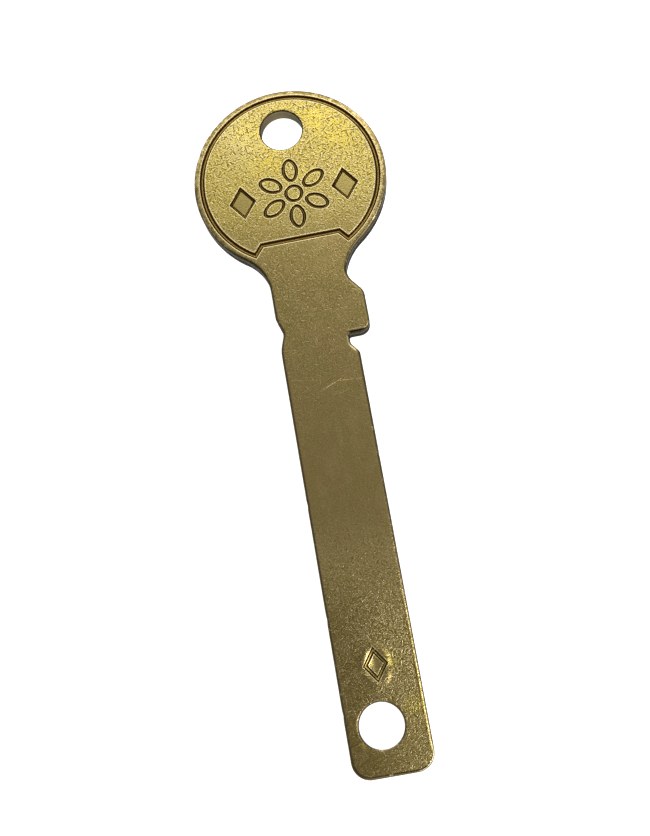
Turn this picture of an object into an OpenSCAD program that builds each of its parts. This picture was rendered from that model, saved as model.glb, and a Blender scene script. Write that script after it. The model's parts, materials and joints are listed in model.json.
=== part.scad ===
// Flat stamped brass key blank for a lever lock.
// One piece: a round bow with a key ring hole, a neck with a collar on one side, and a long flat blade.
// The key lies on its plain back, front face up. X is across the blade and Y is along it, towards the bow.
// The origin is the centre of the key ring hole, on the back face. All sizes are in millimetres.

/* [Plate] */
// Thickness of the brass strip
thickness = 2.5; // [1.5:0.1:4]

/* [Bow] */
// Diameter of the round bow
bow_d = 28; // [24:0.5:36]
// Diameter of the key ring hole
ring_hole_d = 6.1; // [4:0.1:7]
// From the centre of the key ring hole to the top of the bow
ring_hole_edge = 6.3; // [5.5:0.1:8]
// Radius of the hollow curve from the bow to the neck on the plain side
plain_fillet_r = 6.6; // [3:0.1:9]
// Radius of the wide hollow curve from the bow to the neck on the collar side
collar_fillet_r = 8.5; // [5:0.1:10]

/* [Coined line] */
// From the rim of the bow to the middle of the line
line_inset = 1.2; // [0.8:0.1:2]
// Width of the line
line_w = 0.55; // [0.3:0.05:0.8]
// Depth of the line
line_depth = 0.25; // [0.1:0.05:0.5]
// From the centre of the bow down to the straight bar that closes the line
bar_drop = 9.5; // [8:0.1:10]
// Length of the straight bar between its two bent ends
bar_len = 11.2; // [9:0.1:12]
// Angle at which the ends of the bar turn down to meet the round line
bar_end_angle = 50; // [40:1:60]

/* [Neck and collar] */
// How far the neck stands out past the blade edge on the collar side
neck_out = 0.2; // [0:0.05:1]
// Radius of the tight hollow curve at the narrowest place of the neck
waist_r = 2.5; // [1:0.1:4]
// Angle above the narrowest place at which the wide curve hands over to the tight one
waist_angle = 21; // [10:1:30]
// Angle between the key's length and the straight ramp from the neck out to the collar
ramp_angle = 38; // [30:1:60]
// How far the collar stands out past the blade edge
collar_out = 2.1; // [1.2:0.1:3]
// Length of the collar from the end of its ramp to its stop face
collar_len = 5.9; // [4:0.1:9]
// Radius of the corner at the top of the ramp
ramp_top_r = 1.9; // [0.5:0.1:2.5]
// Radius of the outer corner of the stop face
stop_corner_r = 1.6; // [0.3:0.1:2]

/* [Notches] */
// Depth of the notch under the stop face, from the blade edge
stop_notch_depth = 1.1; // [0.5:0.1:2]
// Height of the straight bottom of that notch
stop_notch_len = 1.45; // [1:0.05:3]
// Length of the slope from that notch back out to the blade edge, along the key
stop_notch_slope = 1.4; // [0.8:0.1:3]
// Radius of the inside corner between the stop face and its notch
stop_notch_r = 0.3; // [0.1:0.05:0.5]
// Depth of the shallow notch in the plain side
back_notch_depth = 0.8; // [0.4:0.05:1.5]
// From the stop face up to the middle of the shallow notch
back_notch_rise = 1.7; // [1:0.1:3]
// Length of the shallow notch along the blade
back_notch_len = 4.7; // [3:0.1:6]
// Radius of the bottom of the shallow notch
back_notch_r = 1.6; // [0.5:0.1:2]
// Radius of the soft edge where the shallow notch runs out towards the tip
back_notch_end_r = 5; // [1:0.5:6]
// Radius of the other edges where a notch meets the blade
notch_lip_r = 1; // [0.3:0.1:1.5]

/* [Blade] */
// Width of the blade
blade_w = 10.9; // [9:0.1:14]
// Length of the blade from the stop face to the tip
blade_len = 59.5; // [40:0.5:90]
// Radius of the two corners of the tip
tip_corner_r = 2.5; // [0.5:0.1:4]
// Diameter of the hole near the tip
tip_hole_d = 6; // [4:0.1:6.5]
// From the end of the tip to the centre of its hole
tip_hole_end = 6.5; // [5:0.1:9]
// How far the tip hole is off the middle of the blade, towards the plain side
tip_hole_off = 0.7; // [0:0.1:1]

/* [Edges] */
// Width of the small bevel round each hole on the front face, where the punch went in
hole_bevel = 0.2; // [0.1:0.05:0.4]

/* [Hidden] */
// Angle covered by one flat of a rounded corner
arc_step = 6;
// Number of sides of the round bow and the holes
round_fn = 180;
// How deep the hollow curves bite into the bow, so that they cross its rim and don't only touch it
bite = 0.01;
// How far a cutter runs past the face that it cuts
past = 0.5;
brass = [0.74, 0.62, 0.32];

bow_r = bow_d / 2;
bow_y = ring_hole_edge - bow_r;
half_w = blade_w / 2;
neck_x = half_w + neck_out;
collar_x = half_w + collar_out;
stop_notch_x = half_w - stop_notch_depth;
line_r = bow_r - line_inset;

// Centre of the hollow curve on the plain side, which touches the bow and the side of the blade
plain_fillet = hollow_centre(-half_w - plain_fillet_r, plain_fillet_r);
// Centres of the wide and the tight curve on the collar side, which meet at the handover
handover = unit(-waist_angle);
waist_x = neck_x + waist_r;
collar_fillet = hollow_centre(waist_x + (collar_fillet_r - waist_r) * handover.x, collar_fillet_r);
waist = collar_fillet - (collar_fillet_r - waist_r) * handover;

// Places along the key, from the neck down to the tip
ramp_foot = waist + waist_r * unit(180 + ramp_angle);
ramp_top_y = ramp_foot.y - (collar_x - ramp_foot.x) / tan(ramp_angle);
stop_y = ramp_top_y - collar_len;
stop_notch_y = stop_y - stop_notch_len;
slope_end_y = stop_notch_y - stop_notch_slope;
back_notch_y = stop_y + back_notch_rise;
tip_y = stop_y - blade_len;

// Centre, under the bow at a given x, of a hollow curve of radius r that touches the bow from outside
function hollow_centre(x, r) = [x, bow_y - sqrt(pow(bow_r + r - bite, 2) - pow(x, 2))];

// Angle of a direction, and a unit step along it
function heading(v) = atan2(v.y, v.x);
function unit(a) = [cos(a), sin(a)];

// Points on a circle from angle a to angle b
function arc(centre, r, a, b) =
    let (steps = max(2, ceil(abs(b - a) / arc_step)))
    [for (i = [0:steps]) centre + r * unit(a + (b - a) * i / steps)];

// The turn from heading a to heading b, between -180 and 180
function turn(a, b) = (b - a + 540) % 360 - 180;

// A rounded corner takes half of a side that it shares with another, and all of one that ends sharp
function share(neighbour) = neighbour.z > 0 ? 0.5 : 1;

// A corner [x, y, radius] between its neighbours, rounded as far as both sides leave room
function rounded_corner(before, corner, after) =
    let (
        p = [corner.x, corner.y],
        go_in = [corner.x - before.x, corner.y - before.y],
        go_out = [after.x - corner.x, after.y - corner.y],
        a = heading(go_in),
        t = turn(a, heading(go_out)),
        room = min(norm(go_in) * share(before), norm(go_out) * share(after)),
        r = min(corner.z, room / tan(abs(t) / 2)),
        side = sign(t),
        start = p - r * tan(abs(t) / 2) * unit(a),
        centre = start + r * unit(a + 90 * side)
    )
    arc(centre, r, a - 90 * side, a - 90 * side + t);

// An open chain of [x, y, radius] corners, with its two ends left sharp
function rounded_chain(c) = [
    for (i = [1:len(c) - 2])
        each rounded_corner(c[i - 1], c[i], c[i + 1])
];

// The hollow curve from the bow to the neck on the plain side, drawn downwards
function plain_neck_curve() =
    arc(plain_fillet, plain_fillet_r, heading([0, bow_y] - plain_fillet), 0);

// The tight curve and then the wide one, from the ramp back up to the bow on the collar side
function collar_neck_curve() = concat(
    arc(waist, waist_r, 180 + ramp_angle, 180 - waist_angle),
    arc(collar_fillet, collar_fillet_r, 180 - waist_angle, heading([0, bow_y] - collar_fillet))
);

// Down the plain side, round the tip and up the collar side
function blade_corners() = [
    [-half_w, plain_fillet.y, 0],
    [-half_w, back_notch_y + back_notch_len / 2, notch_lip_r],
    [-half_w + back_notch_depth, back_notch_y, back_notch_r],
    [-half_w, back_notch_y - back_notch_len / 2, back_notch_end_r],
    [-half_w, tip_y, tip_corner_r],
    [half_w, tip_y, tip_corner_r],
    [half_w, slope_end_y, notch_lip_r],
    [stop_notch_x, stop_notch_y, notch_lip_r],
    [stop_notch_x, stop_y, stop_notch_r],
    [collar_x, stop_y, stop_corner_r],
    [collar_x, ramp_top_y, ramp_top_r],
    [ramp_foot.x, ramp_foot.y, 0]
];

module key_outline() {
    translate([0, bow_y])
        circle(r = bow_r, $fn = round_fn);
    polygon(concat(plain_neck_curve(), rounded_chain(blade_corners()), collar_neck_curve()));
}

// The field of the bow inside the coined line, grown by g: a disc whose foot is cut away by the neck
module bow_field(g) {
    bar_y = bow_y - bar_drop - g;
    bar_x = bar_len / 2 - g * tan(bar_end_angle / 2);
    reach = bow_r;
    difference() {
        translate([0, bow_y])
            circle(r = line_r + g, $fn = round_fn);
        polygon([
            [-bar_x, bar_y],
            [bar_x, bar_y],
            [bar_x, bar_y] + reach * unit(-bar_end_angle),
            [-bar_x, bar_y] + reach * unit(180 + bar_end_angle)
        ]);
    }
}

// The line that the die presses into the front face
module coined_line() {
    translate([0, 0, thickness - line_depth])
        linear_extrude(line_depth + past)
            difference() {
                bow_field(line_w / 2);
                bow_field(-line_w / 2);
            }
}

// A straight round hole through the plate, with its front rim bevelled
module punched_hole(d) {
    translate([0, 0, -past])
        cylinder(d = d, h = thickness + 2 * past, $fn = round_fn);
    translate([0, 0, thickness - hole_bevel])
        cylinder(h = 2 * hole_bevel, r1 = d / 2, r2 = d / 2 + 2 * hole_bevel, $fn = round_fn);
}

module key_blank() {
    color(brass)
        difference() {
            linear_extrude(thickness)
                key_outline();
            punched_hole(ring_hole_d);
            translate([-tip_hole_off, tip_y + tip_hole_end])
                punched_hole(tip_hole_d);
            coined_line();
        }
}

key_blank();
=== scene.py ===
"""The looks of a flat brass key blank for a lever lock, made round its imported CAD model.

The key is one stamping, so one mesh stands for its one CAD node. The mesh has what a press and a tumbling
drum leave: rolled and sheared edges, a pressed line with small lips, a pressed rosette and lozenges, nicks,
and faces that are not quite flat. Sizes are in millimetres until the mesh is finished.
"""
import json
import math

import bmesh
import bpy
import numpy as np
from mathutils import Matrix, Quaternion, Vector, noise
from mathutils.geometry import delaunay_2d_cdt
from mathutils.kdtree import KDTree


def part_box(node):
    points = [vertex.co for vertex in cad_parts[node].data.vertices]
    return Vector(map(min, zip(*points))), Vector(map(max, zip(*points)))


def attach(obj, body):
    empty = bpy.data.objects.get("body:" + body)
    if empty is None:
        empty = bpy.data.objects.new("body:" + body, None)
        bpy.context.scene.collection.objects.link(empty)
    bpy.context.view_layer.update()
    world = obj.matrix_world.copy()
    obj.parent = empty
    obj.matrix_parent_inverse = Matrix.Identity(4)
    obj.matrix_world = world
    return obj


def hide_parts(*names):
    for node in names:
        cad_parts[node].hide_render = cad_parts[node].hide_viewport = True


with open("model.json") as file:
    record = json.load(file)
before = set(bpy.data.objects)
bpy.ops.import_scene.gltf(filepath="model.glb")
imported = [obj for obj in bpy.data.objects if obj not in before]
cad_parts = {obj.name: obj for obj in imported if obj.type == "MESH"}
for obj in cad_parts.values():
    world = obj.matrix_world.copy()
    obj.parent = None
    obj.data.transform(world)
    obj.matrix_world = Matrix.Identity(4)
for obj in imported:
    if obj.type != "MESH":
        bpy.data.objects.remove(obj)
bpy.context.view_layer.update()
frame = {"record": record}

MM = 0.001


def mount(name):
    """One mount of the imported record."""
    return next(m for m in frame["record"]["mounts"] if m["name"] == name)


def mount_place(name):
    """Where a mount is on the face, in millimetres."""
    return np.array(mount(name)["pos_m"][:2]) / MM


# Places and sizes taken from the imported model
low, high = (np.array(corner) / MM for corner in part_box("key_blank"))
thickness = high[2]
bow_r = min(high[0], -low[0])
bow_place = np.array([0, high[1] - bow_r])
tip_y = low[1]
stop_y = mount_place("stop_face")[1]
ring_hole_place = mount_place("key_ring_hole")
ring_hole_r = mount("key_ring_hole")["dims"]["r_mm"]
tip_hole_place = mount_place("tip_hole")
tip_hole_r = mount("tip_hole")["dims"]["r_mm"]

# Neck, collar and blade
half_w = 5.45
plain_fillet_r = 6.6
collar_fillet_r = 8.5
neck_x = half_w + 0.2
waist_r = 2.5
waist_angle = 21
ramp_angle = 38
collar_x = half_w + 2.1
ramp_top_r = 1.9
stop_corner_r = 1.6
stop_notch_x = half_w - 1.1
stop_notch_len = 1.45
stop_notch_slope = 1.4
stop_notch_r = 0.3
back_notch_x = -half_w + 0.8
back_notch_y = stop_y + 1.7
back_notch_len = 4.7
back_notch_r = 1.6
back_notch_end_r = 5
notch_lip_r = 1
tip_corner_r = 2.5

# The pressed line round the bow
line_r = bow_r - 1.2
bar_y = bow_place[1] - 9.5
bar_half = 5.6
bar_end_angle = 50
line_half_w = 0.52
line_depth = 0.25

# The pressed ornament, which is a rosette round a ring between two lozenges, and the lozenge near the tip
rosette_place = np.array([0.2, -10.2])
petals = 6
petal_length = 3.2
petal_width = 1.9
petal_pinch = 0.12
petal_distance = 3.6
ring_r = 1.15
ornament_half_w = 0.38
ornament_depth = 0.2
side_lozenge_distance = 7.5
side_lozenge_half = np.array([1.6, 2.1])
field_half_w = 0.44
tip_lozenge_place = np.array([-0.1, -77.8])
tip_lozenge_half = np.array([1.35, 1.9])
tip_line_half_w = 0.4
tip_line_depth = 0.22

# The dent round that lozenge, and the swelling round the dent, placed in shares of the dent's reach
stamp_reach = np.array([1.4, 2.2])
stamp_dent = 0.2
stamp_swelling = 0.08
swelling_middle = 1.1
swelling_half = 0.42

# The section of a pressed line, as shares of its half width: its floor ends, its wall ends, the lip's middle
floor_end = 0.125
wall_end = 0.7
lip_middle = 0.85
lip_half = 0.15
inner_section = (0.05, floor_end, 0.22, 0.33, 0.45, 0.57, wall_end, 0.775, lip_middle, 0.925, 1)
outer_section = tuple(-across for across in reversed(inner_section))
field_margin = 0.3

# Press work: how far the front face lies below the highest lips, and the shape of the edges
lip_height = 0.01
face_drop = 0.11
rim_fall = 0.035
face_height = thickness - face_drop
roll_width = 0.44
roll_depth = 0.24
hole_roll_width = 0.24
hole_roll_depth = 0.2
front_margin = 0.16
back_roll = 0.1
back_margin = 0.2
break_height = 1.5
break_sway = 0.28
break_top = 0.07
break_foot = 0.05
break_step = 0.05
smooth_inset = 0.004
face_sway = 0.012
broad_wave = 5.2
fine_wave = 2.1
neck_fade = 2

# What tumbling wore off the outline
wear = 0.012
fine_wear = 0.008
broad_wear = 0.006
least_wear = 0.002

# Mesh spacing
outline_step = 0.34
widest_turn = 8
roll_steps = 6
back_roll_steps = 3
lozenge_clearance = 1.6
fill_step = 0.62
fill_clearance = 0.3
fill_jitter = 0.12 * fill_step
jitter_length = 0.7
nearly_same = 1e-6
section_points = 25
petal_points = 56
ring_points = 48


def unit(angle):
    """A step of length 1 in a direction given in degrees."""
    return np.array([math.cos(math.radians(angle)), math.sin(math.radians(angle))])


def heading(step):
    """The direction of a step, in degrees."""
    return math.degrees(math.atan2(step[1], step[0]))


def arc(centre, radius, start, end):
    """Points on a circle from one angle to another."""
    step = min(widest_turn, math.degrees(outline_step / radius))
    count = max(2, math.ceil(abs(end - start) / step))
    angles = np.radians(np.linspace(start, end, count + 1))
    return centre + radius * np.column_stack([np.cos(angles), np.sin(angles)])


def hollow_centre(x, radius):
    """Centre, under the bow at a given x, of a hollow curve that touches the bow from outside."""
    return np.array([x, bow_place[1] - math.sqrt((bow_r + radius) ** 2 - x ** 2)])


def share(neighbour):
    """A rounded corner takes half of a side that it shares with another, and all of one that ends sharp."""
    return 0.5 if neighbour[2] > 0 else 1


def rounded_corner(before, corner, after):
    """An arc in place of a corner (x, y, radius), as wide as both of its sides leave room for."""
    place = np.array(corner[:2])
    go_in = place - before[:2]
    go_out = after[:2] - place
    into = heading(go_in)
    turn = (heading(go_out) - into + 540) % 360 - 180
    half_turn = math.tan(math.radians(abs(turn) / 2))
    room = min(np.linalg.norm(go_in) * share(before), np.linalg.norm(go_out) * share(after))
    radius = min(corner[2], room / half_turn)
    side = math.copysign(90, turn)
    centre = place - radius * half_turn * unit(into) + radius * unit(into + side)
    return arc(centre, radius, into - side, into - side + turn)


def rounded_chain(corners):
    """An open chain of rounded corners, without its two sharp ends."""
    return np.vstack([rounded_corner(*three) for three in zip(corners, corners[1:], corners[2:])])


def key_outline():
    """The outline of the whole key, with the metal on its left."""
    plain_fillet = hollow_centre(-half_w - plain_fillet_r, plain_fillet_r)
    handover = unit(-waist_angle)
    waist_x = neck_x + waist_r
    widening = collar_fillet_r - waist_r
    collar_fillet = hollow_centre(waist_x + widening * handover[0], collar_fillet_r)
    waist = collar_fillet - widening * handover
    ramp_foot = waist + waist_r * unit(180 + ramp_angle)
    ramp_top_y = ramp_foot[1] - (collar_x - ramp_foot[0]) / math.tan(math.radians(ramp_angle))
    stop_notch_y = stop_y - stop_notch_len
    corners = np.array([
        [-half_w, plain_fillet[1], 0],
        [-half_w, back_notch_y + back_notch_len / 2, notch_lip_r],
        [back_notch_x, back_notch_y, back_notch_r],
        [-half_w, back_notch_y - back_notch_len / 2, back_notch_end_r],
        [-half_w, tip_y, tip_corner_r],
        [half_w, tip_y, tip_corner_r],
        [half_w, stop_notch_y - stop_notch_slope, notch_lip_r],
        [stop_notch_x, stop_notch_y, notch_lip_r],
        [stop_notch_x, stop_y, stop_notch_r],
        [collar_x, stop_y, stop_corner_r],
        [collar_x, ramp_top_y, ramp_top_r],
        [*ramp_foot, 0],
    ])
    to_collar = heading(collar_fillet - bow_place)
    to_plain = heading(plain_fillet - bow_place) + 360
    return evenly_stepped(np.vstack([
        arc(bow_place, bow_r, to_collar, to_plain),
        arc(plain_fillet, plain_fillet_r, to_plain - 180, 0),
        rounded_chain(corners),
        arc(waist, waist_r, 180 + ramp_angle, 180 - waist_angle),
        arc(collar_fillet, collar_fillet_r, 180 - waist_angle, to_collar + 180),
    ]))


def evenly_stepped(loop):
    """A closed loop without doubled points, and with extra points on its long straight stretches."""
    least_step = 0.001
    ahead = np.linalg.norm(np.roll(loop, -1, axis=0) - loop, axis=1)
    loop = loop[ahead > least_step]
    made = []
    for here, there in zip(loop, np.roll(loop, -1, axis=0)):
        count = math.ceil(np.linalg.norm(there - here) / outline_step)
        made += [here + (there - here) * i / count for i in range(count)]
    return np.array(made)


def bow_line():
    """The middle of the pressed line: round the rim of the bow, and straight across above the neck."""
    bar_end = np.array([bar_half, bar_y])
    down = unit(-bar_end_angle)
    along = np.dot(bar_end - bow_place, down)
    off = np.dot(bar_end - bow_place, bar_end - bow_place) - line_r ** 2
    tip = bar_end + down * (-along + math.sqrt(along ** 2 - off))
    clear_of_corner = math.degrees(line_half_w / line_r)
    round_part = arc(bow_place, line_r, heading(tip - bow_place) + clear_of_corner,
                     180 - heading(tip - bow_place) - clear_of_corner)
    mirrored = np.array([-1, 1])
    corners = [tip * mirrored, bar_end * mirrored, bar_end, tip]
    return np.vstack([round_part, straight_chain(corners, line_half_w)])


def straight_chain(corners, clearance):
    """Sharp corners with stepped straight lines between them, and no step close to a corner."""
    made = []
    for here, there in zip(corners, corners[1:]):
        length = np.linalg.norm(there - here)
        count = max(1, math.ceil((length - 2 * clearance) / outline_step))
        places = [0, *np.linspace(clearance / length, 1 - clearance / length, count + 1)]
        made += [here + (there - here) * place for place in places]
    return np.array([*made, corners[-1]])


def lozenge_line(place, half, line_width):
    """A lozenge with sharp corners, drawn as a closed line round a place."""
    corners = [place + half * unit(angle) for angle in (0, 90, 180, 270, 360)]
    return straight_chain(corners, line_width * lozenge_clearance)[:-1]


def hole_outline(place, radius):
    """A round hole's rim, with the metal on its left."""
    return arc(place, radius, 360, 0)[:-1]


def into_metal(loop):
    """At each point of a loop, a step of 1 mm to its left, longer at corners to keep the sides even."""
    ahead = np.roll(loop, -1, axis=0) - loop
    ahead /= np.linalg.norm(ahead, axis=1)[:, None]
    left = np.column_stack([-ahead[:, 1], ahead[:, 0]])
    both = left + np.roll(left, 1, axis=0)
    return 2 * both / np.sum(both ** 2, axis=1)[:, None]


def sway(places, wavelength, seed):
    """Smooth noise, mostly between -1 and 1, at points in the plane."""
    return np.array([noise.noise(Vector((x / wavelength, y / wavelength, seed))) for x, y in places])


class Shell:
    """The key's surface while it is being built: points with their marks, and faces."""

    def __init__(self):
        self.places = []
        self.pressed = []
        self.sheared = []
        self.struck = []
        self.faces = []
        self.front_flat = []
        self.back_flat = []

    def row(self, flat, height, pressed=0.0, sheared=0.0, struck=0.0):
        """Adds a row of points and returns their numbers."""
        first = len(self.places)
        count = len(flat)
        self.places += np.column_stack([flat, np.broadcast_to(height, count)]).tolist()
        self.pressed += np.broadcast_to(pressed, count).tolist()
        self.sheared += np.broadcast_to(sheared, count).tolist()
        self.struck += np.broadcast_to(struck, count).tolist()
        return list(range(first, first + count))

    def bands(self, rows):
        """Joins closed rows of the same length with faces, each row to the next."""
        for one, other in zip(rows, rows[1:]):
            for i in range(len(one)):
                self.faces.append((one[i - 1], one[i], other[i], other[i - 1]))

    def skin(self, rims, height, up, struck=0.0):
        """Fills the flat metal between closed rows: what lies inside an odd number of them."""
        flat = np.array(self.places)[:, :2]
        loops = [flat[rim] for rim in rims]
        numbers = [n for rim in rims for n in rim] + self.row(fill_places(loops), height, struck=struck)
        starts = np.cumsum([0] + [len(rim) for rim in rims])
        edges = []
        for start, rim in zip(starts, rims):
            edges += [(start + i, start + (i + 1) % len(rim)) for i in range(len(rim))]
        points = [Vector(self.places[n][:2]) for n in numbers]
        filled = delaunay_2d_cdt(points, edges, [], 0, nearly_same)
        places, sides, triangles, place_sources, side_sources, _ = filled
        number_of = [numbers[sources[0]] for sources in place_sources]
        rim_sides = {frozenset(side) for side, sources in zip(sides, side_sources) if sources}
        flat = np.array([place[:] for place in places])
        for triangle in metal_triangles(np.array(triangles), flat, rim_sides, loops):
            corners = [number_of[corner] for corner in triangle]
            self.faces.append(tuple(corners if up else corners[::-1]))
        (self.front_flat if up else self.back_flat).extend(numbers)


def metal_triangles(triangles, places, rim_sides, loops):
    """The triangles on the metal. The rims part all of them into regions, and one that reaches the outer
    border is no metal. The largest triangle of any other region speaks for it, because one that lies along
    a straight rim can be too thin to tell which side of the rim it is on.
    """
    sides = []
    beside = {}
    for number, corners in enumerate(triangles.tolist()):
        pairs = [frozenset((corners[i - 1], corners[i])) for i in range(3)]
        sides.append([pair for pair in pairs if pair not in rim_sides])
        for side in sides[-1]:
            beside.setdefault(side, []).append(number)
    a, b, c = places[triangles].swapaxes(0, 1)
    (x0, y0), (x1, y1) = (b - a).T, (c - a).T
    region = np.full(len(triangles), -1)
    largest = []
    enclosed = []
    for first in np.argsort(-abs(x0 * y1 - x1 * y0), kind="stable"):
        if region[first] >= 0:
            continue
        region[first] = len(largest)
        largest.append(first)
        enclosed.append(True)
        waiting = [first]
        while waiting:
            for side in sides[waiting.pop()]:
                if len(beside[side]) == 1:
                    enclosed[-1] = False
                for other in beside[side]:
                    if region[other] < 0:
                        region[other] = region[first]
                        waiting.append(other)
    is_metal = np.array(enclosed) & (inside_count((a + b + c)[largest] / 3, loops) % 2 == 1)
    return triangles[is_metal[region]]


def inside_count(places, loops):
    """How many of the closed loops go round each place."""
    counts = np.zeros(len(places), int)
    for loop in loops:
        near = np.all((places > loop.min(0)) & (places < loop.max(0)), axis=1)
        x, y = places[near].T[:, :, None]
        x0, y0 = loop.T
        x1, y1 = np.roll(loop, -1, axis=0).T
        rise = np.where(y1 == y0, 1, y1 - y0)
        crossed = ((y0 > y) != (y1 > y)) & (x < x0 + (y - y0) / rise * (x1 - x0))
        counts[near] += crossed.sum(axis=1) % 2
    return counts


def fill_places(loops):
    """Evenly spread points on the flat metal, clear of every rim."""
    rim_points = np.vstack(loops)
    tree = KDTree(len(rim_points))
    for i, (x, y) in enumerate(rim_points):
        tree.insert((x, y, 0), i)
    tree.balance()
    row_gap = fill_step * math.sqrt(3) / 2
    ys = np.arange(rim_points[:, 1].min(), rim_points[:, 1].max(), row_gap)
    xs = np.arange(rim_points[:, 0].min(), rim_points[:, 0].max(), fill_step)
    grid = np.array([(x + fill_step / 2 * (i % 2), y) for i, y in enumerate(ys) for x in xs])
    grid += fill_jitter * np.column_stack([sway(grid, jitter_length, seed) for seed in (3.0, 8.0)])
    grid = grid[inside_count(grid, loops) % 2 == 1]
    clear = [tree.find((x, y, 0))[2] > fill_clearance for x, y in grid]
    return grid[clear]


def edge_rows(loop, front_width, front_depth):
    """Rows over a punched edge: rolled over at the front, smooth where the punch cut, rough below the break.
    Each has its inset, its height and how sheared it is, from 0 on the faces to 1 where the metal is torn.
    """
    smooth_end = break_height + break_sway * sway(loop, 1.6, 5.0)
    rough = break_step * (1 + 0.5 * sway(loop, 0.5, 9.0))
    rows = [(front_width + front_margin, face_height, 0)]
    for turn in np.linspace(0, 90, roll_steps + 1):
        inset = front_width * (1 - math.sin(math.radians(turn)))
        fall = front_depth * (1 - math.cos(math.radians(turn)))
        rows.append((inset, face_height - fall, max(0, turn - 10) / 110))
    rows.append((smooth_inset, smooth_end + break_top, 0.4))
    rows.append((rough, smooth_end - break_foot, 1))
    rows.append((rough * 1.3, smooth_end * 0.55, 1))
    foot = rough * 0.7
    for turn in np.radians(np.linspace(0, 90, back_roll_steps + 1)):
        rows.append((foot + back_roll * (1 - math.cos(turn)), back_roll * (1 - math.sin(turn)), 0.5))
    rows.append((foot + back_roll + back_margin, 0, 0))
    return rows


def punched_edge(shell, loop, front_width, front_depth):
    """Adds a punched edge and returns its first row, on the front face, and its last, on the back."""
    left = into_metal(loop)
    rows = []
    for inset, height, sheared in edge_rows(loop, front_width, front_depth):
        flat = loop + left * np.broadcast_to(inset, len(loop))[:, None]
        rows.append(shell.row(flat, height, sheared=sheared))
    shell.bands(rows)
    return rows[0], rows[-1]


def press_share(across):
    """How deep a pressed line is at a place across it, from -1 to 1: 0 at the face, 1 on its floor."""
    slope = np.clip((wall_end - abs(across)) / (wall_end - floor_end), 0, 1)
    return slope * slope * (3 - 2 * slope)


def press_lip(across):
    """The metal that the press pushes up beside the line, as a share of the lip's height."""
    return np.clip(1 - ((abs(across) - lip_middle) / lip_half) ** 2, 0, 1)


def press_rows(shell, loop, half_width, depth, section):
    """Adds a row of points along a closed loop at each place across a pressed line, and returns the rows."""
    left = into_metal(loop)
    rows = []
    for across in section:
        drop = press_share(across)
        lip = press_lip(across)
        height = face_height + lip_height * lip - depth * drop
        rows.append(shell.row(loop + left * across * half_width, height, pressed=drop - lip))
    return rows


def pressed_line(shell, loop, half_width, depth):
    """Adds a pressed line along a closed loop and returns its two rims."""
    rows = press_rows(shell, loop, half_width, depth, outer_section + inner_section)
    shell.bands(rows)
    return rows[0], rows[-1]


def sunk_field(shell, loop, half_width, depth):
    """Adds a flat sunk field inside a closed loop, with a lip round it, and returns its outer rim."""
    rows = press_rows(shell, loop, half_width, depth, outer_section[:-1])
    floor = face_height - depth
    rows.append(shell.row(loop + into_metal(loop) * half_width * field_margin, floor, struck=1))
    shell.bands(rows)
    shell.skin([rows[-1]], floor, up=True, struck=1)
    return rows[0]


class Signal:
    """What comes out of a socket. Arithmetic on it adds Math nodes to its tree."""

    def __init__(self, maker, socket):
        self.maker = maker
        self.socket = socket

    def maths(self, operation, *values):
        """A Math node on these values."""
        return self.maker.add("ShaderNodeMath", {"operation": operation}, dict(enumerate(values)))

    def __add__(self, other):
        return self.maths("ADD", self, other)

    def __radd__(self, other):
        return self.maths("ADD", other, self)

    def __sub__(self, other):
        return self.maths("SUBTRACT", self, other)

    def __rsub__(self, other):
        return self.maths("SUBTRACT", other, self)

    def __mul__(self, other):
        return self.maths("MULTIPLY", self, other)

    def __rmul__(self, other):
        return self.maths("MULTIPLY", other, self)

    def __truediv__(self, other):
        return self.maths("DIVIDE", self, other)

    def __rtruediv__(self, other):
        return self.maths("DIVIDE", other, self)

    def __pow__(self, other):
        return self.maths("POWER", self, other)

    def __neg__(self):
        return self.maths("MULTIPLY", self, -1)

    def __abs__(self):
        return self.maths("ABSOLUTE", self)

    def out(self, name):
        """Another output of the same node."""
        return Signal(self.maker, self.socket.node.outputs[name])

    def sine(self):
        """The sine of an angle in radians."""
        return self.maths("SINE", self)

    def cosine(self):
        """The cosine of an angle in radians."""
        return self.maths("COSINE", self)

    def at_most(self, other):
        """The smaller of two values."""
        return self.maths("MINIMUM", self, other)

    def at_least(self, other):
        """The larger of two values."""
        return self.maths("MAXIMUM", self, other)

    def ramp(self, start, end):
        """0 up to start, 1 from end on, and a smooth rise between them. Start may be the larger."""
        values = {"Value": self, "From Min": start, "From Max": end}
        return self.maker.add("ShaderNodeMapRange", {"interpolation_type": "SMOOTHSTEP"}, values)


class Maker:
    """Adds nodes to one tree."""

    def __init__(self, tree):
        self.tree = tree

    def add(self, kind, settings=None, values=None, out=0):
        """Makes a node, sets it up, then fills or links its sockets, and returns one output."""
        made = self.tree.nodes.new(kind)
        for name, value in (settings or {}).items():
            setattr(made, name, value)
        for socket, value in (values or {}).items():
            for one in value if isinstance(value, list) else [value]:
                if isinstance(one, Signal):
                    self.tree.links.new(one.socket, made.inputs[socket])
                else:
                    made.inputs[socket].default_value = one
        return Signal(self, made.outputs[out]) if len(made.outputs) else made

    def vector(self, x=0.0, y=0.0, z=0.0):
        """A vector of three values."""
        return self.add("ShaderNodeCombineXYZ", {}, {"X": x, "Y": y, "Z": z})

    def parts(self, vector):
        """The three values of a vector."""
        return [self.add("ShaderNodeSeparateXYZ", {}, {0: vector}, out=axis) for axis in "XYZ"]


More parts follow.
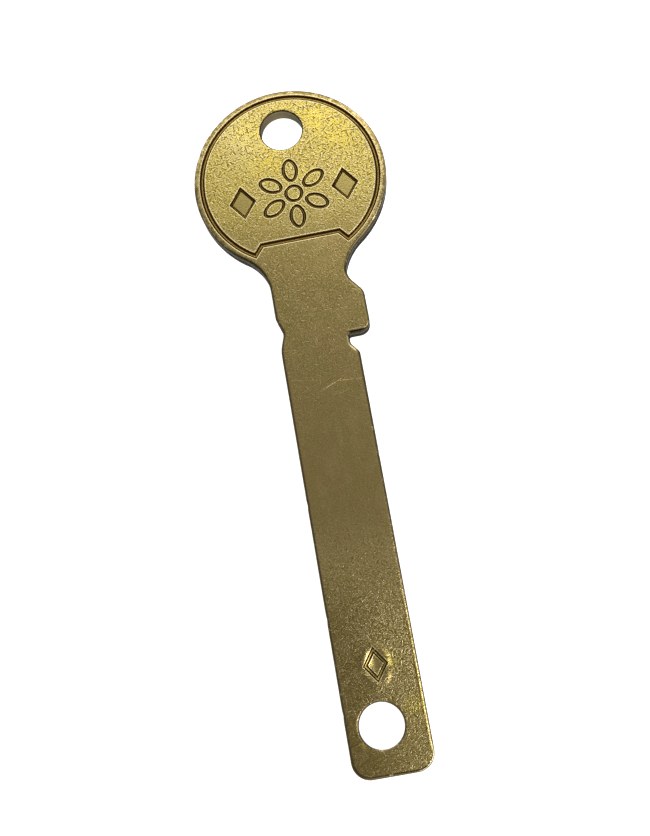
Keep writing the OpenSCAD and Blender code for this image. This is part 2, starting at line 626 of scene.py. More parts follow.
# The inputs of the rosette's tree: each one's name, its kind and its value
rosette_inputs = {
    "Petals": ("NodeSocketInt", petals),
    "Petal Length": ("NodeSocketFloat", petal_length),
    "Petal Width": ("NodeSocketFloat", petal_width),
    "Petal Pinch": ("NodeSocketFloat", petal_pinch),
    "Petal Distance": ("NodeSocketFloat", petal_distance),
    "Ring Radius": ("NodeSocketFloat", ring_r),
    "Line Half Width": ("NodeSocketFloat", ornament_half_w),
    "Line Depth": ("NodeSocketFloat", ornament_depth),
    "Lip Height": ("NodeSocketFloat", lip_height),
    "Place": ("NodeSocketVector", (*rosette_place, face_height)),
    "Material": ("NodeSocketMaterial", None),
}


def rosette_tree():
    """Geometry Nodes for a pressed rosette: one petal's line repeated round a small ring."""
    tree = bpy.data.node_groups.new("pressed_rosette", "GeometryNodeTree")
    for name, (kind, value) in rosette_inputs.items():
        tree.interface.new_socket(name, in_out="INPUT", socket_type=kind)
    tree.interface.new_socket("Geometry", in_out="OUTPUT", socket_type="NodeSocketGeometry")
    nodes = Maker(tree)
    sockets = tree.nodes.new("NodeGroupInput").outputs
    given = {name: Signal(nodes, sockets[name]) for name in rosette_inputs}

    # A flat line, bent into the section of a pressed line with a lip on each side
    flat = nodes.add("GeometryNodeCurvePrimitiveLine", {}, {"Start": (-1, 0, 0), "End": (1, 0, 0)})
    flat = nodes.add("GeometryNodeResampleCurve", {}, {"Curve": flat, "Count": section_points})
    across, _, _ = nodes.parts(nodes.add("GeometryNodeInputPosition"))
    drop = abs(across).ramp(wall_end, floor_end)
    lip = (1 - ((abs(across) - lip_middle) / lip_half) ** 2).at_least(0)
    sunk = given["Line Depth"] * drop - given["Lip Height"] * lip
    marked = nodes.add("GeometryNodeStoreNamedAttribute", {"data_type": "FLOAT"},
                       {"Geometry": flat, "Name": "pressed", "Value": drop - lip})
    bent = nodes.vector(across * given["Line Half Width"], sunk)
    section = nodes.add("GeometryNodeSetPosition", {}, {"Geometry": marked, "Position": bent})

    # One petal: a circle drawn out and pinched towards both of its ends
    circle = nodes.add("GeometryNodeCurvePrimitiveCircle", {}, {"Resolution": petal_points, "Radius": 1.0})
    x, y, _ = nodes.parts(nodes.add("GeometryNodeInputPosition"))
    petal_x = x * given["Petal Length"] / 2 + given["Petal Distance"]
    petal_y = y * given["Petal Width"] / 2 * (1 - given["Petal Pinch"] * x * x)
    drawn_out = nodes.vector(petal_x, petal_y)
    petal = nodes.add("GeometryNodeSetPosition", {}, {"Geometry": circle, "Position": drawn_out})
    ring = nodes.add("GeometryNodeCurvePrimitiveCircle", {},
                     {"Resolution": ring_points, "Radius": given["Ring Radius"]})

    def pressed(path):
        """The surface of a pressed line along a path."""
        upright = nodes.add("GeometryNodeSetCurveNormal", {"mode": "Z_UP"}, {"Curve": path})
        return nodes.add("GeometryNodeCurveToMesh", {}, {"Curve": upright, "Profile Curve": section})

    number = nodes.add("GeometryNodeInputIndex")
    turned = nodes.vector(z=(number + 0.5) * math.tau / given["Petals"])
    points = nodes.add("GeometryNodePoints", {}, {"Count": given["Petals"]})
    petal_ring = nodes.add("GeometryNodeInstanceOnPoints", {},
                           {"Points": points, "Instance": pressed(petal), "Rotation": turned})
    both = nodes.add("GeometryNodeJoinGeometry", {}, {"Geometry": [petal_ring, pressed(ring)]})
    placed = nodes.add("GeometryNodeTransform", {}, {"Geometry": both, "Translation": given["Place"]})
    solid = nodes.add("GeometryNodeRealizeInstances", {}, {"Geometry": placed})
    done = nodes.add("GeometryNodeSetMaterial", {}, {"Geometry": solid, "Material": given["Material"]})
    nodes.add("NodeGroupOutput", {}, {"Geometry": done})
    return tree


def rosette_mesh(material):
    """The rosette's pressed lines as a plain mesh."""
    holder = bpy.data.objects.new("rosette", bpy.data.meshes.new("rosette"))
    bpy.context.scene.collection.objects.link(holder)
    modifier = holder.modifiers.new("pressed_rosette", "NODES")
    modifier.node_group = rosette_tree()
    for socket in modifier.node_group.interface.items_tree:
        if socket.in_out == "INPUT":
            value = rosette_inputs[socket.name][1]
            modifier[socket.identifier] = material if value is None else value
    seen = holder.evaluated_get(bpy.context.evaluated_depsgraph_get())
    mesh = bpy.data.meshes.new_from_object(seen)
    holder.modifiers.remove(modifier)
    bpy.data.objects.remove(holder)
    return mesh


def closed_rims(mesh):
    """The closed rows of points round a mesh's open borders."""
    used = {}
    for face in mesh.polygons:
        for pair in face.edge_keys:
            used[pair] = used.get(pair, 0) + 1
    beside = {}
    for (one, other), count in used.items():
        if count == 1:
            beside.setdefault(one, []).append(other)
            beside.setdefault(other, []).append(one)
    rims = []
    left = set(beside)
    while left:
        start = min(left)
        rim = [start]
        here = beside[start][0]
        while here != start:
            rim.append(here)
            here = next(n for n in beside[here] if n != rim[-2])
        rims.append(rim)
        left -= set(rim)
    return rims


def pressed_rosette(shell, material):
    """Adds the rosette to the key's surface and returns its rims."""
    mesh = rosette_mesh(material)
    places = np.array([v.co for v in mesh.vertices])
    depths = np.zeros(len(places), np.float32)
    mesh.attributes["pressed"].data.foreach_get("value", depths)
    numbers = shell.row(places[:, :2], places[:, 2], pressed=depths)
    shell.faces += [tuple(numbers[v] for v in face.vertices) for face in mesh.polygons]
    return [[numbers[v] for v in rim] for rim in closed_rims(mesh)]


# How fast a nick fades from the front face down through the plate, and how much it also pushes down
nick_slope = 2.2
nick_fall = 0.5

# Nicks in the front edge: x, y, how far each reaches along the edge, and how deep it is
nicks = (
    (-half_w, -55.4, 0.4, 0.09),
    (half_w, -50.2, 0.35, 0.1),
    (half_w, -63.5, 0.3, 0.08),
    (-half_w, -71.0, 0.4, 0.08),
    (-half_w, -83.5, 0.35, 0.1),
    (-12.6, -1.6, 0.5, 0.09),
    (10.9, 1.1, 0.4, 0.07),
    (13.6, -11.0, 0.5, 0.08),
)


def worn_outline():
    """The outline with the small unevenness that tumbling leaves, always towards the metal."""
    loop = key_outline()
    inset = wear + fine_wear * sway(loop, 1.1, 2.0) + broad_wear * sway(loop, 3.4, 6.0)
    return loop + into_metal(loop) * np.clip(inset, least_wear, None)[:, None]


def knock_nicks(places):
    """Pushes the front edge inwards at each nick."""
    upper = np.clip(1 - nick_slope * (1 - places[:, 2] / thickness), 0, 1)
    for x, y, reach, depth in nicks:
        away = places[:, :2] - (x, y)
        push = depth * upper * np.exp(-np.sum(away ** 2, axis=1) / reach ** 2)
        centre = bow_place if y > bow_place[1] - bow_r else np.array([0, y])
        inwards = (centre - (x, y)) / np.linalg.norm(centre - (x, y))
        places[:, :2] += push[:, None] * inwards
        places[:, 2] -= push * nick_fall


def front_wave(flat):
    """How far the front face waves up or down, with the rim of the bow falling off towards its edge."""
    from_line = np.linalg.norm(flat - bow_place, axis=1) - line_r
    towards_rim = np.clip(from_line / (bow_r - line_r), 0, 1)
    above_neck = np.clip((flat[:, 1] - bar_y) / neck_fade, 0, 1)
    waves = face_sway * (0.7 * sway(flat, broad_wave, 1.0) + 0.3 * sway(flat, fine_wave, 4.0))
    from_stamp = np.linalg.norm((flat - tip_lozenge_place) / stamp_reach, axis=1)
    dent = stamp_dent * np.clip(1 - from_stamp ** 2, 0, 1) ** 2
    from_swelling = (from_stamp - swelling_middle) / swelling_half
    swelling = stamp_swelling * np.clip(1 - from_swelling ** 2, 0, 1) ** 2
    return waves - dent + swelling - rim_fall * above_neck * towards_rim ** 2


def back_wave(flat):
    """How far the back lies above the plane on which the key rests."""
    return face_sway * (1 + sway(flat, 6.0, 7.0))


def unflatten(places):
    """Gives both faces the slight waves of a stamped blank, inside the space of the flat plate."""
    front_share = places[:, 2] / thickness
    flat = places[:, :2]
    places[:, 2] += front_share * front_wave(flat) + (1 - front_share) * back_wave(flat)


def wave_normals(wave, flat):
    """The upward directions square to a waving face."""
    step = 0.05
    slope_x = (wave(flat + (step, 0)) - wave(flat - (step, 0))) / (2 * step)
    slope_y = (wave(flat + (0, step)) - wave(flat - (0, step))) / (2 * step)
    upward = np.column_stack([-slope_x, -slope_y, np.ones(len(flat))])
    return upward / np.linalg.norm(upward, axis=1)[:, None]


def shade(mesh, shell, places):
    """Turns every face outwards and shades the metal smoothly, the flat faces square to their own waves."""
    shape = bmesh.new()
    shape.from_mesh(mesh)
    bmesh.ops.recalc_face_normals(shape, faces=shape.faces)
    shape.to_mesh(mesh)
    shape.free()
    mesh.shade_smooth()
    normals = np.zeros((len(places), 3), np.float32)
    mesh.vertex_normals.foreach_get("vector", normals.ravel())
    front = np.array(shell.front_flat)
    back = np.array(shell.back_flat)
    normals[front] = wave_normals(front_wave, places[front, :2])
    normals[back] = -wave_normals(back_wave, places[back, :2])
    mesh.normals_split_custom_set_from_vertices(normals.tolist())


def key_mesh(material):
    """The whole key as one closed mesh."""
    shell = Shell()
    front_rims = []
    back_rims = []
    for loop, width, depth in (
        (worn_outline(), roll_width, roll_depth),
        (hole_outline(ring_hole_place, ring_hole_r), hole_roll_width, hole_roll_depth),
        (hole_outline(tip_hole_place, tip_hole_r), hole_roll_width, hole_roll_depth),
    ):
        front, back = punched_edge(shell, loop, width, depth)
        front_rims.append(front)
        back_rims.append(back)
    front_rims += pressed_line(shell, bow_line(), line_half_w, line_depth)
    for side in (-1, 1):
        place = rosette_place + (side * side_lozenge_distance, 0)
        lozenge = lozenge_line(place, side_lozenge_half, field_half_w)
        front_rims.append(sunk_field(shell, lozenge, field_half_w, ornament_depth))
    lozenge = lozenge_line(tip_lozenge_place, tip_lozenge_half, tip_line_half_w)
    outer, inner = pressed_line(shell, lozenge, tip_line_half_w, tip_line_depth)
    front_rims.append(outer)
    shell.skin([inner], face_height, up=True, struck=1)
    front_rims += pressed_rosette(shell, material)
    shell.skin(front_rims, face_height, up=True)
    shell.skin(back_rims, 0, up=False)

    places = np.array(shell.places)
    knock_nicks(places)
    unflatten(places)
    mesh = bpy.data.meshes.new("key_blank_visual")
    mesh.from_pydata((places * MM).tolist(), [], shell.faces)
    for name, marks in (("pressed", shell.pressed), ("sheared", shell.sheared), ("struck", shell.struck)):
        mesh.attributes.new(name, "FLOAT", "POINT").data.foreach_set("value", np.array(marks, np.float32))
    mesh.materials.append(material)
    shade(mesh, shell, places)
    return mesh


bump_depth = 0.05 * MM
# Colours of painted highlights: the sheen on the bow and the bright line on the tip's right edge, and the
# lines above the stop and in its notch
highlight_gold = (1.0, 0.84, 0.36)
edge_highlight_gold = (1.0, 0.84, 0.42)

# Fine scratches on the front face: from x, y to x, y, half width, and how bright each is
face_scratches = (
    (-0.9, -40.0, 2.2, -38.75, 0.045, 0.55),
    (-4.5, -37.8, -0.8, -38.4, 0.035, 0.25),
    (2.0, -39.0, 4.9, -39.2, 0.045, 0.4),
    (1.3, -40.9, 3.0, -40.5, 0.06, 0.3),
    (-4.1, -54.6, 1.1, -53.2, 0.04, 0.2),
    (-3.0, -48.9, -1.8, -49.6, 0.04, 0.2),
    (2.2, -45.4, 3.6, -46.6, 0.04, 0.2),
)

# Places where a yellow gleam is painted on the front face as a highlight: x, y, and how far each reaches
gleams = (
    (-2.9, -4.6, 4.5),
    (-4.6, 0.4, 3.6),
    (5.6, 1.2, 4.5),
    (8.3, -2.4, 3.5),
    (2.7, -7.6, 2.6),
    (1.7, -77.6, 2.0),
    (4.3, -84.0, 2.6),
    (-3.1, -87.6, 0.9),
)


def distance(x, y):
    """How far away a place is, from its steps across and along."""
    return (x * x + y * y) ** 0.5


class BrassNodes(Maker):
    """Adds the brass's nodes. It knows the mesh's marks and, in millimetres, the places on the key."""

    def __init__(self, tree):
        super().__init__(tree)
        place = self.add("ShaderNodeTexCoord", out="Object")
        self.place = self.add("ShaderNodeVectorMath", {"operation": "SCALE"}, {0: place, "Scale": 1 / MM})
        x, y, z = self.parts(self.place)
        self.x = x
        self.y = y
        self.pressed = self.mark("pressed")
        self.sheared = self.mark("sheared")
        self.struck = self.mark("struck")
        self.plain = 1 - self.struck * 0.7

        # Each is 1 at the place that it names and fades to 0 away from it
        self.front = z.ramp(1.1, 1.4)
        self.on_bow = y.ramp(-21, -8)
        self.above_neck = y.ramp(-19, -15)
        self.on_neck = y.ramp(-38, -24)
        self.on_tip = y.ramp(-60, -78)
        self.tip_corners = y.ramp(-88.5, -90)
        self.on_right = x.ramp(-5, 4)
        self.right_of_tip = self.on_right * y.ramp(-64, -74)
        self.bow_right = x.ramp(8, 12) * y.ramp(-15, -9)
        beside_stop = (collar_x - x).ramp(0.15, 0.85)
        self.at_stop = self.near((collar_x - 1.05, stop_y), 5).ramp(0.4, 0.7) * beside_stop
        self.at_ring_hole = self.near(ring_hole_place, 8).ramp(0.3, 0.5)

        # How far past the middle of the pressed line a place is, and the rim of the bow outside the line
        self.past_line = distance(x, y - float(bow_place[1])) - line_r
        self.rim = self.past_line.ramp(0.1, 0.5) * self.above_neck

        self.grain = self.mottle(5.5, roughness=0.6, stretch=(0.85, 1.15, 1))
        self.patches = self.mottle(0.9, shift=3.0)

    def mark(self, name):
        """One of the marks that the mesh carries at its points."""
        return self.add("ShaderNodeAttribute", {"attribute_name": name}, out="Fac")

    def mottle(self, scale, detail=2.0, roughness=0.5, stretch=(1, 1, 1), shift=0.0):
        """Smooth noise round 0.5. Scale says how many patches lie on a millimetre."""
        values = {"Vector": self.place, "Scale": stretch, "Location": (shift, shift, shift)}
        moved = self.add("ShaderNodeMapping", {}, values)
        values = {"Vector": moved, "Scale": scale, "Detail": detail, "Roughness": roughness}
        return self.add("ShaderNodeTexNoise", {}, values)

    def strokes(self, size, half_length, half_width, bend, sparse, shift):
        """Short bent strokes in random directions, one to a cell: their light sides as a painted highlight,
        and their dark sides beside them as a painted shadow.
        """
        moved = self.add("ShaderNodeVectorMath", {"operation": "ADD"}, {0: self.place, 1: (shift, shift, 0)})
        cell = self.add("ShaderNodeTexVoronoi", {"voronoi_dimensions": "2D"},
                        {"Vector": moved, "Scale": 1 / size})
        values = {0: moved, 1: cell.out("Position")}
        off_x, off_y, _ = self.parts(self.add("ShaderNodeVectorMath", {"operation": "SUBTRACT"}, values))
        turn, curl, strength = self.parts(cell.out("Color"))
        cosine = (turn * math.tau).cosine()
        sine = (turn * math.tau).sine()
        along = off_x * cosine + off_y * sine
        across = off_y * cosine - off_x * sine + along * along * (curl - 0.5) * bend
        body = (1 - (along / half_length) ** 2).at_least(0) * strength.ramp(sparse, 1)
        light = (1 - abs(across) / half_width).at_least(0) * body
        dark = (1 - abs(across + half_width * 2.2) / (half_width * 1.6)).at_least(0) * body
        return light, dark

    def near(self, centre, reach):
        """1 at a place on the face, falling to 0 at its reach."""
        return distance(self.x - float(centre[0]), self.y - float(centre[1])).ramp(reach, 0)

    def scratch(self, start, end, half_width):
        """1 on the line between two points and 0 at its half width and beyond."""
        step_x, step_y = np.subtract(end, start).tolist()
        from_x = self.x - start[0]
        from_y = self.y - start[1]
        along = (from_x * step_x + from_y * step_y) / (step_x ** 2 + step_y ** 2)
        along = along.at_least(0).at_most(1)
        return (1 - distance(from_x - along * step_x, from_y - along * step_y) / half_width).at_least(0)

    def blend(self, share, one, other):
        """One colour where the share is 0 and the other where it is 1."""
        one, other = (colour if isinstance(colour, Signal) else (*colour, 1) for colour in (one, other))
        return self.add("ShaderNodeMix", {"data_type": "RGBA"}, {0: share, 6: one, 7: other}, out=2)

    def coats(self, base, *coats):
        """A colour with coats over it, each given as its share and its colour."""
        for share, colour in coats:
            base = self.blend(share, base, colour)
        return base

    def metal(self, colour, metallic, roughness, height, settings):
        """A metal with a bumpy surface, and with a few fixed settings."""
        bumps = self.add("ShaderNodeBump", {}, {"Strength": 1.0, "Distance": bump_depth, "Height": height})
        values = {"Base Color": colour, "Metallic": metallic, "Roughness": roughness, "Normal": bumps}
        return self.add("ShaderNodeBsdfPrincipled", {}, values | settings)


def tumbling_marks_and_painted_shading(nodes):
    """The worm-like strokes and the specks that tumbling leaves: the strokes' light sides as painted
    highlights and their dark sides as painted shadows, and light and dark specks.
    """
    y = nodes.y
    fine_light, fine_dark = nodes.strokes(
        0.36, half_length=0.17, half_width=0.08, bend=3.0, sparse=0.0, shift=1.0)
    long_light, long_dark = nodes.strokes(
        0.62, half_length=0.42, half_width=0.08, bend=2.4, sparse=0.1, shift=4.0)
    specks = nodes.mottle(6.4, 1.0, 0.6, stretch=(0.9, 1.1, 1), shift=6.0)
    on_top = y.ramp(-16, -3)
    # The strokes' painted light and shadow are stronger where the bow is lit, towards its upper right
    lit = (nodes.x * 0.5 + y * 0.87).ramp(-15, -3)
    on_bow = nodes.on_bow * (0.23 + 0.52 * lit)
    speckled = y.ramp(-54, -68) * (0.5 + 0.5 * nodes.right_of_tip) * (1 - 0.4 * y.ramp(-82, -89))
    stroke_share = 0.12 + 0.13 * y.ramp(-47, -38) + 0.07 * nodes.on_neck + on_bow + speckled * 0.55
    stroke_share = stroke_share * nodes.plain
    speck_share = (speckled * 0.5 + nodes.on_neck * 0.05 + 0.05) * nodes.plain
    light = (fine_light + long_light).at_most(1.2) * stroke_share
    light = light * (1 - nodes.rim * 0.5) * (1 - on_top * 0.3)
    light = light + specks.ramp(0.56, 0.68) * speck_share * 0.75
    dark = (fine_dark + long_dark).at_most(1.2) * stroke_share * (1 + 0.9 * on_top)
    dark = dark + specks.ramp(0.46, 0.34) * speck_share
    return light, dark


def fine_scratches(nodes):
    """How bright the fine scratches on the front face are, broken up along their way."""
    scratches = sum(nodes.scratch((x0, y0), (x1, y1), half_width) * strength
                    for x0, y0, x1, y1, half_width, strength in face_scratches)
    return scratches * nodes.front * nodes.mottle(2.6, 1.0, shift=2.0).ramp(0.25, 0.5)


def painted_yellow_highlights(nodes):
    """How much painted yellow highlight lies on the front face."""
    gleam = sum(nodes.near((x, y), reach) for x, y, reach in gleams).at_most(1)
    return gleam * nodes.front * (0.3 + nodes.mottle(1.0, 3.0, 0.6, shift=9.0).ramp(0.35, 0.6) * 0.7)


def rim_colour(nodes):
    """The colour outside the pressed line: rosy, darker on the left as painted shade and brighter on the
    right as a painted highlight, darker at the top, and flecked.
    """
    rosy = nodes.blend(nodes.past_line.ramp(0.5, 1.1), (0.85, 0.69, 0.3), (0.66, 0.52, 0.34))
    # Painted shade on the left of the rim and a painted highlight on its right
    left = nodes.blend(0.5, rosy, (0.38, 0.28, 0.1))
    right = nodes.blend(0.45, rosy, (1.0, 0.79, 0.3))
    flecks = nodes.mottle(2.6, 3.0, 0.65, shift=11.0).ramp(0.5, 0.58)
    return nodes.coats(
        nodes.blend(nodes.x.ramp(-12, 12), left, right),
        (nodes.past_line.ramp(0.3, 0.8) * nodes.y.ramp(-4, 3) * 0.9, (0.24, 0.17, 0.07)),
        (flecks * 0.95, (0.22, 0.13, 0.02)),
    )


def face_colour(nodes):
    """The colour of the faces: gold on the bow, olive along the blade and brown near the tip, with a painted
    sheen by the ring hole, painted glare, painted yellow highlights, and painted light and shade on the two
    sides of the tip.
    """
    fine = nodes.grain.ramp(0.3, 0.7)
    coarse = nodes.mottle(0.3, 3.0, 0.6, shift=12.0).ramp(0.42, 0.58)
    olive = nodes.coats(
        nodes.blend(fine, (0.45, 0.345, 0.12), (0.59, 0.455, 0.165)),
        (coarse * 0.6, (0.55, 0.39, 0.155)),
        (nodes.on_neck * 0.3, (0.36, 0.275, 0.05)),
        (nodes.y.ramp(-57, -66) * 0.62, (0.76, 0.59, 0.23)),
    )
    brown = nodes.blend(fine, (0.27, 0.185, 0.015), (0.57, 0.425, 0.13))
    # Painted light: the tip is lighter on its right side
    brown = nodes.blend(nodes.right_of_tip * 0.35, brown, (0.85, 0.66, 0.25))
    gold = nodes.blend(nodes.grain.ramp(0.36, 0.62), (0.37, 0.255, 0.02), (0.96, 0.79, 0.24))
    # A painted sheen: the bow is lighter round the left of the ring hole
    gold = nodes.blend(nodes.near((-5, -0.5), 7) * 0.55, gold, highlight_gold)
    # Cloud-like lighter patches: painted glare
    painted_glare = nodes.mottle(0.55, 3.0, 0.6, stretch=(1, 0.6, 1), shift=17.0)
    # Painted yellow highlights, broken up by the grain
    painted_gleam = painted_yellow_highlights(nodes) * 0.75 * (0.4 + 0.6 * nodes.grain.ramp(0.35, 0.6))
    return nodes.coats(
        olive,
        (nodes.on_bow, gold),
        (nodes.on_tip * 0.8, brown),
        # Painted shade: the tip is darker on its left side
        (nodes.on_tip * (1 - nodes.on_right) * 0.55, (0.26, 0.18, 0.045)),
        (nodes.rim * 0.8, rim_colour(nodes)),
        (nodes.patches.ramp(0.35, 0.7) * 0.2, (0.42, 0.31, 0.1)),
        (painted_glare.ramp(0.5, 0.62) * 0.22, (0.72, 0.54, 0.24)),
        (painted_gleam, (1.0, 0.78, 0.09)),
    )


def line_floor_colour(nodes):
    """The colour of the floor of a pressed line: darkest, as painted shade, in the rosette and lightest near
    the tip.
    """
    in_rosette = nodes.near(rosette_place, 12).ramp(0.4, 0.5)
    floor = nodes.blend(nodes.on_tip, (0.34, 0.2, 0.045), (0.55, 0.41, 0.1))
    return nodes.blend(in_rosette, floor, (0.13, 0.065, 0.005))


def roll_shade_and_highlight(nodes):
    """The colour laid on the rolled edge: painted shade, nearly black at the stop and the ring hole, and
    painted highlights on the right of the bow and at the tip's right corner.
    """
    y = nodes.y
    return nodes.coats(
        nodes.blend(y.ramp(-25, -20), (0.2, 0.15, 0.075), (0.1, 0.075, 0.035)),
        (y.ramp(-14, -8), (0.42, 0.32, 0.16)),
        (y.ramp(-5, 3), (0.17, 0.125, 0.06)),
        (nodes.at_stop, (0.02, 0.01, 0.0)),
        (nodes.at_ring_hole, (0.03, 0.014, 0.0)),
        # Painted highlights at the tip's right corner and on the bow's right
        (nodes.tip_corners * nodes.x.ramp(2.5, 4), (0.85, 0.74, 0.48)),
        (nodes.bow_right, (0.96, 0.77, 0.4)),
    )


def edged(nodes, face):
    """The colour of the faces with their rolled edges: painted shade and painted highlights along the edges,
    and dirt round the bow.
    """
    x = nodes.x
    y = nodes.y
    sheared = nodes.sheared
    from_side = half_w - x
    rolled = sheared.ramp(0.0, 0.04)

    # The right side near the tip gets a painted highlight, a broken bright line along its rolled edge, with
    # a dark line beside it
    tip_side = y.ramp(-64, -74) * y.ramp(-90.5, -88.5)
    broken = nodes.mottle(2.4, 3.0, 0.7, shift=41.0).ramp(0.42, 0.56)
    beside_edge_highlight = from_side.ramp(0.7, 0.6) * from_side.ramp(0.31, 0.39) * tip_side
    edge_highlight = from_side.ramp(0.39, 0.33) * from_side.ramp(0.09, 0.15) * tip_side

    # The painted shade of the roll starts near its top, and in the places called late farther down
    low_rim = nodes.rim * y.ramp(-8, -12)
    collar_side = (collar_x - x).ramp(0.65, 0.45) * y.ramp(-20, -24)
    tip_line = from_side.ramp(0.85, 0.55) * tip_side * (0.25 + 0.75 * broken)
    late = (low_rim + collar_side + nodes.tip_corners * nodes.on_right + tip_line).at_most(1)
    painted_roll_share = sheared.ramp(0.0, 0.12) * (1 - late) + sheared.ramp(0.16, 0.28) * late

    # Round the bow: darker at its top edge, dark dirt flecks that are laid lighter on the bow's right as
    # painted light, and flecks of painted shine
    top_edge = nodes.past_line.ramp(0.7, 0.95) * y.ramp(-4, 3)
    dirt_and_shine = nodes.mottle(1.7, 4.0, 0.7, shift=31.0)
    dark_dirt = dirt_and_shine.ramp(0.5, 0.56) * nodes.past_line.ramp(0.45, 0.8) * nodes.above_neck
    painted_rim_shine = dirt_and_shine.ramp(0.44, 0.38) * nodes.past_line.ramp(0.5, 0.6) * nodes.above_neck

    # Painted highlights: a bright line above the stop, and bright edges in its notch and here and there
    # along the key
    above_stop = y - stop_y - 0.5 - 0.4 * (nodes.mottle(1.4, 1.0, shift=25.0) - 0.5)
    above_stop = (1 - abs(above_stop) / 0.13).at_least(0) * x.ramp(4.0, 4.5) * x.ramp(7.0, 6.5)
    in_notch = nodes.near((stop_notch_x, stop_y - stop_notch_len), 2.4).ramp(0.35, 0.6)
    glint = nodes.mottle(1.1, 4.0, 0.75, shift=21.0).ramp(0.6, 0.66)
    glint = glint * (1 - nodes.at_stop) * (1 - nodes.at_ring_hole)

    return nodes.coats(
        face,
        (beside_edge_highlight * (0.4 + 0.4 * nodes.patches.ramp(0.4, 0.6)), (0.22, 0.14, 0.02)),
        (edge_highlight * (0.1 + 0.5 * broken), highlight_gold),
        # Painted shade on the rolled edge at the tip's corners
        (rolled * nodes.tip_corners, (0.05, 0.03, 0.0)),
        (top_edge * 0.6, (0.25, 0.19, 0.1)),
        # Painted light on the roll of the bow's lower rim
        (low_rim * sheared.ramp(0.0, 0.1), (0.85, 0.68, 0.36)),
        (painted_roll_share, roll_shade_and_highlight(nodes)),
        # Dark dirt, lighter on the bow's right as painted light
        (dark_dirt * 0.7, nodes.blend(nodes.bow_right, (0.17, 0.125, 0.03), (0.5, 0.33, 0.08))),
        # Painted shine on the rim
        (painted_rim_shine * 0.6, (1.0, 0.81, 0.38)),
        # Painted highlights above the stop, in its notch and along the edges
        (above_stop * 0.8, edge_highlight_gold),
        (rolled * sheared.ramp(0.35, 0.15) * in_notch * 0.9, edge_highlight_gold),
        (rolled * sheared.ramp(0.4, 0.2) * glint * 0.7, (1.0, 0.86, 0.5)),
    )


def tumbled_face(nodes):
    """The faces and their rolled edges, with what tumbling, scratching and pressing left on them, and with
    painted light and shade in their colour.
    """
    light, dark = tumbling_marks_and_painted_shading(nodes)
    scratches = fine_scratches(nodes)
    pressed = nodes.pressed
    # Painted shade on the walls of the pressed lines: dark brown with no metal
    line_wall_shade = (pressed * (1 - pressed) * 4).ramp(0.0, 0.35)
    colour = nodes.coats(
        face_colour(nodes),
        # Painted shadows and highlights of the tumbling strokes, with the dark and light specks
        ((dark * 1.4).at_most(0.95), nodes.blend(nodes.on_bow, (0.16, 0.1, 0.0), (0.3, 0.2, 0.0))),
        ((light * 1.1).at_most(0.9), (1.0, 0.89, 0.55)),
        ((scratches * 0.7).at_most(0.6), (0.95, 0.82, 0.45)),
        (nodes.struck * 0.8, nodes.blend(nodes.on_tip, (0.46, 0.36, 0.12), (0.72, 0.55, 0.18))),
        # Painted highlight on the lips beside each pressed line
        ((-pressed).ramp(0.1, 0.8) * 0.85, (1.0, 0.88, 0.5)),
        (pressed.ramp(0.3, 1) * 0.85, line_floor_colour(nodes)),
        (line_wall_shade, (0.03, 0.009, 0.0)),
    )
    rippled = (0.07 + nodes.on_bow * 0.08 + nodes.right_of_tip * 0.1) * nodes.plain
    height = nodes.grain * rippled + (light - dark * 0.5) * (0.3 - 0.1 * nodes.on_bow) - scratches * 0.3
    roughness = 0.22 + 0.06 * (1 - nodes.grain)
    settings = {"Specular IOR Level": 0.0}
    return nodes.metal(edged(nodes, colour), 1 - line_wall_shade, roughness, height, settings)


def cut_edge(nodes):
    """The cut edge: burnished and streaked where the punch went in, torn below, with painted shade round the
    neck and painted light in the ring hole.
    """
    is_torn = nodes.sheared.ramp(0.5, 0.9)
    streaks = nodes.mottle(5.0, stretch=(1, 1, 0.12)).ramp(0.3, 0.7)
    crumbs = nodes.mottle(6.5, 3.0, 0.7, shift=5.0)
    burnished = nodes.blend(streaks, (0.14, 0.117, 0.065), (0.2, 0.167, 0.092))
    torn = nodes.blend(crumbs.ramp(0.35, 0.65), (0.1, 0.084, 0.047), (0.19, 0.157, 0.088))
    shaded_neck_walls = nodes.y.ramp(-12, -17) * nodes.y.ramp(-35, -33)
    colour = nodes.coats(
        nodes.blend(is_torn, burnished, torn),
        # Painted shade on the walls round the neck and the stop
        (shaded_neck_walls * 0.55, (0.05, 0.047, 0.03)),
        # Painted light on the ring hole's wall
        (nodes.at_ring_hole * 0.5, (0.28, 0.225, 0.12)),
    )
    height = streaks * 0.25 * (1 - is_torn) + crumbs * 0.7 * is_torn
    settings = {"Specular Tint": (0.1, 0.16, 0.3, 1)}
    return nodes.metal(colour, 1.0, 0.38 + 0.15 * is_torn, height, settings)


def brass():
    """Tumbled yellow brass, with its cut edges."""
    material = bpy.data.materials.new("brass")
    material.use_nodes = True
    material.node_tree.nodes.clear()
    nodes = BrassNodes(material.node_tree)
    values = {0: nodes.sheared.ramp(0.3, 0.6), 1: tumbled_face(nodes), 2: cut_edge(nodes)}
    nodes.add("ShaderNodeOutputMaterial", {}, {"Surface": nodes.add("ShaderNodeMixShader", {}, values)})
    return material


def build_key():
    """Makes the visible key, which stands for its CAD node."""
    key = bpy.data.objects.new("key_blank_visual", key_mesh(brass()))
    bpy.context.scene.collection.objects.link(key)
    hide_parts("key_blank")
    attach(key, "root")


# The camera, at the photograph's place and turned to its angle about X, Y and Z in degrees
camera_place = (5.831, -86.893, 167.479)
camera_turn = (13.9704, 4.8386, -9.7135)
photo_height = 836
focal_pixels = 1244.3
sensor = 36
nearest_seen = 0.01


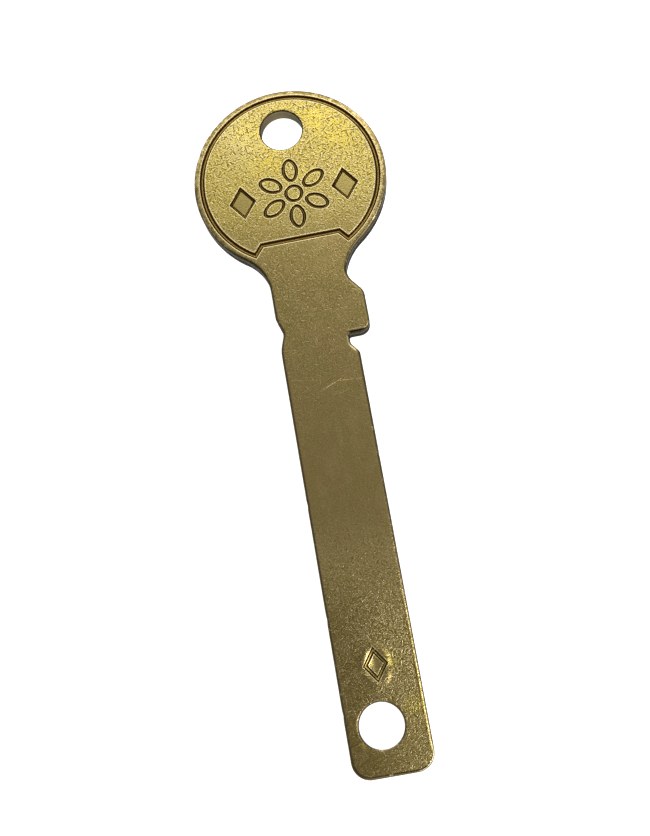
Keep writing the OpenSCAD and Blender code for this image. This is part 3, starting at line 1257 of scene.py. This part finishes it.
def photo_camera():
    """A camera with the photograph's view."""
    camera = bpy.data.objects.new("camera", bpy.data.cameras.new("camera"))
    bpy.context.scene.collection.objects.link(camera)
    camera.location = Vector(camera_place) * MM
    camera.rotation_euler = [math.radians(angle) for angle in camera_turn]
    camera.data.sensor_width = sensor
    camera.data.lens = focal_pixels * sensor / photo_height
    camera.data.clip_start = nearest_seen
    bpy.context.scene.camera = camera


# The studio, whose distances are in metres, apart from the place on the key that the panels aim at
panel_distance = 0.9
panel_aim = (0, -40, 0)
floor_reach = 3.0
floor_gap = 0.00002
floor_grey = (0.9, 0.9, 0.9, 1)
floor_roughness = 0.9
floor_glow = 1.0
room_grey = (0.24, 0.238, 0.235, 1)


def panel(name, azimuth, tilt, spin, spread, glow):
    """A soft panel that faces the key. Azimuth turns from +X to +Y, tilt is from straight up, spin turns the
    panel in its own plane, and spread is half its width and half its height, all in degrees seen from the
    key. Glow is its brightness.
    """
    light = bpy.data.lights.new(name, "AREA")
    light.shape = "RECTANGLE"
    light.size, light.size_y = (2 * panel_distance * math.tan(math.radians(half)) for half in spread)
    light.energy = glow * math.pi * light.size * light.size_y
    lamp = bpy.data.objects.new(name, light)
    bpy.context.scene.collection.objects.link(lamp)
    flat = unit(azimuth) * math.sin(math.radians(tilt))
    towards = Vector((*flat, math.cos(math.radians(tilt))))
    turned = towards.to_track_quat("Z", "Y") @ Quaternion((0, 0, 1), math.radians(spin))
    place = Vector(panel_aim) * MM + towards * panel_distance
    lamp.matrix_world = Matrix.Translation(place) @ turned.to_matrix().to_4x4()


def studio():
    """A pale floor, soft panels and a dim room."""
    signs = ((-1, -1), (1, -1), (1, 1), (-1, 1))
    corners = [(x * floor_reach, y * floor_reach, -floor_gap) for x, y in signs]
    mesh = bpy.data.meshes.new("floor")
    mesh.from_pydata(corners, [], [(0, 1, 2, 3)])
    floor = bpy.data.objects.new("floor", mesh)
    bpy.context.scene.collection.objects.link(floor)
    paint = bpy.data.materials.new("floor_paint")
    paint.use_nodes = True
    values = {"Base Color": floor_grey, "Roughness": floor_roughness, "Emission Color": (1, 1, 1, 1),
              "Emission Strength": floor_glow}
    for name, value in values.items():
        paint.node_tree.nodes["Principled BSDF"].inputs[name].default_value = value
    mesh.materials.append(paint)

    world = bpy.data.worlds.new("room")
    world.use_nodes = True
    world.node_tree.nodes["Background"].inputs["Color"].default_value = room_grey
    bpy.context.scene.world = world
    panel("back_panel", azimuth=98, tilt=59.3, spin=-38, spread=(34, 24), glow=1.6)
    panel("side_panel", azimuth=-29, tilt=35, spin=29, spread=(17, 16), glow=4.2)
    panel("front_panel", azimuth=-88, tilt=52, spin=0, spread=(20, 12), glow=1.2)


photo_camera()
studio()
build_key()
bpy.context.scene.view_settings.view_transform = "Standard"
